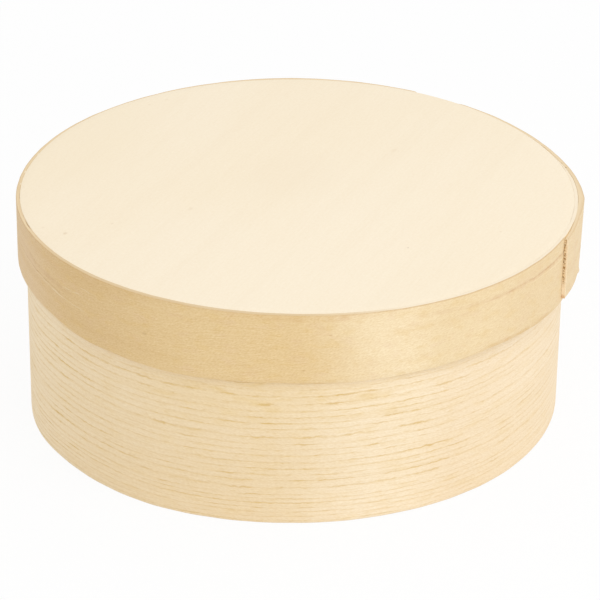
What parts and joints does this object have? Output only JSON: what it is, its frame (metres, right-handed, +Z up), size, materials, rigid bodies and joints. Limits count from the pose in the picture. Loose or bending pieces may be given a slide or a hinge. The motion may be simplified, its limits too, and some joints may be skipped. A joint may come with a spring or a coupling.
{
  "type": "round wooden box",
  "caption": "Round bent-veneer box with a flat panel base and an overlapping lift-off lid, for keeping dry goods and small things.",
  "frame": {"origin": "centre of the underside, on the box's axis", "axes": "+Z up along the box's axis, -Y to the front, and the lid strip's outer end is 23 degrees from +X towards the front"},
  "size_m": [0.1986, 0.1972, 0.08],
  "materials": {
    "spruce_veneer": "raw sliced spruce veneer with fine growth lines",
    "tan_veneer": "raw fine-grained tan veneer",
    "pale_plywood": "sanded raw pale plywood face",
    "plywood_core": "raw plywood core"
  },
  "bodies": {
    "box": {"body_hoop": "spruce_veneer", "base_outer_ply": "pale_plywood", "base_core_ply": "plywood_core", "base_inner_ply": "pale_plywood"},
    "lid": {"lid_hoop": "tan_veneer", "lid_outer_ply": "pale_plywood", "lid_core_ply": "plywood_core", "lid_inner_ply": "pale_plywood"}
  },
  "joints": [
    {"name": "lid_lift", "type": "slide", "parent": "box", "child": "lid", "axis": [0, 0, 1], "range_m": [0, 0.1]}
  ]
}
